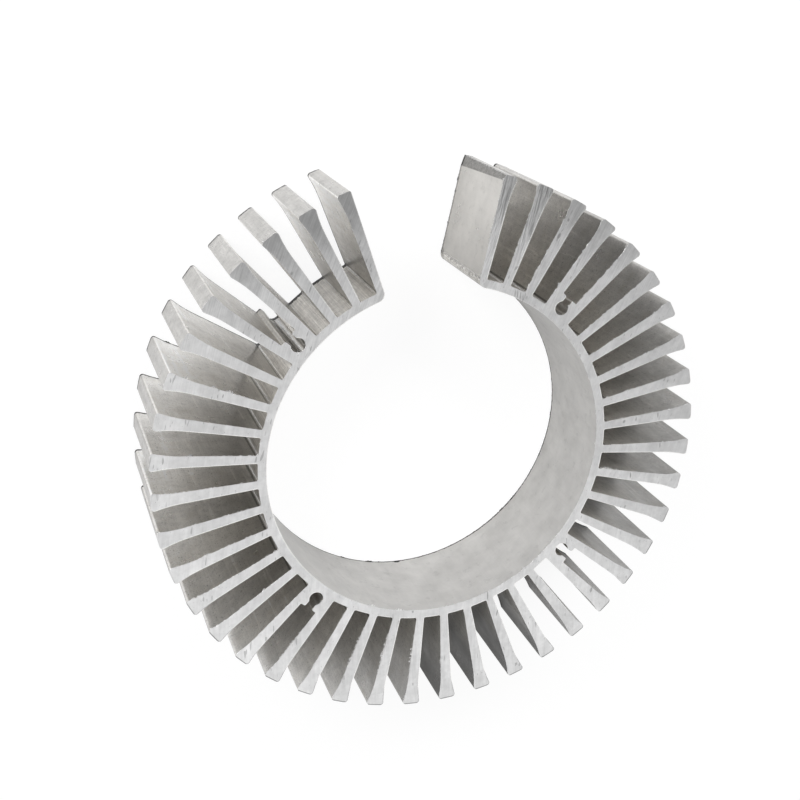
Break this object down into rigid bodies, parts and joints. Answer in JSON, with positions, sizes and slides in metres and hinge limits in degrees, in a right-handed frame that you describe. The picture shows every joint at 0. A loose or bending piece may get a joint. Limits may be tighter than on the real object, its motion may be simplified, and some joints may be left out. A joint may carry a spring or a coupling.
{
  "type": "ring heat sink",
  "caption": "Open-sided ring heat sink cut from an aluminium extrusion, with radial fins that flare at their tips and keyhole screw channels between some of them.",
  "frame": {"origin": "on the bore's axis, in the plane of the lower cut face that the part lies on", "axes": "+Z along the extrusion from the lower to the upper cut face, +Y from the bore's axis through the middle of the open side, +X to the right of the open side as seen from above"},
  "size_m": [0.131, 0.1286, 0.026],
  "materials": {
    "aluminium": "mill finish with sawn cut faces"
  },
  "bodies": {
    "root": {"heat_sink": "aluminium"}
  },
  "joints": []
}
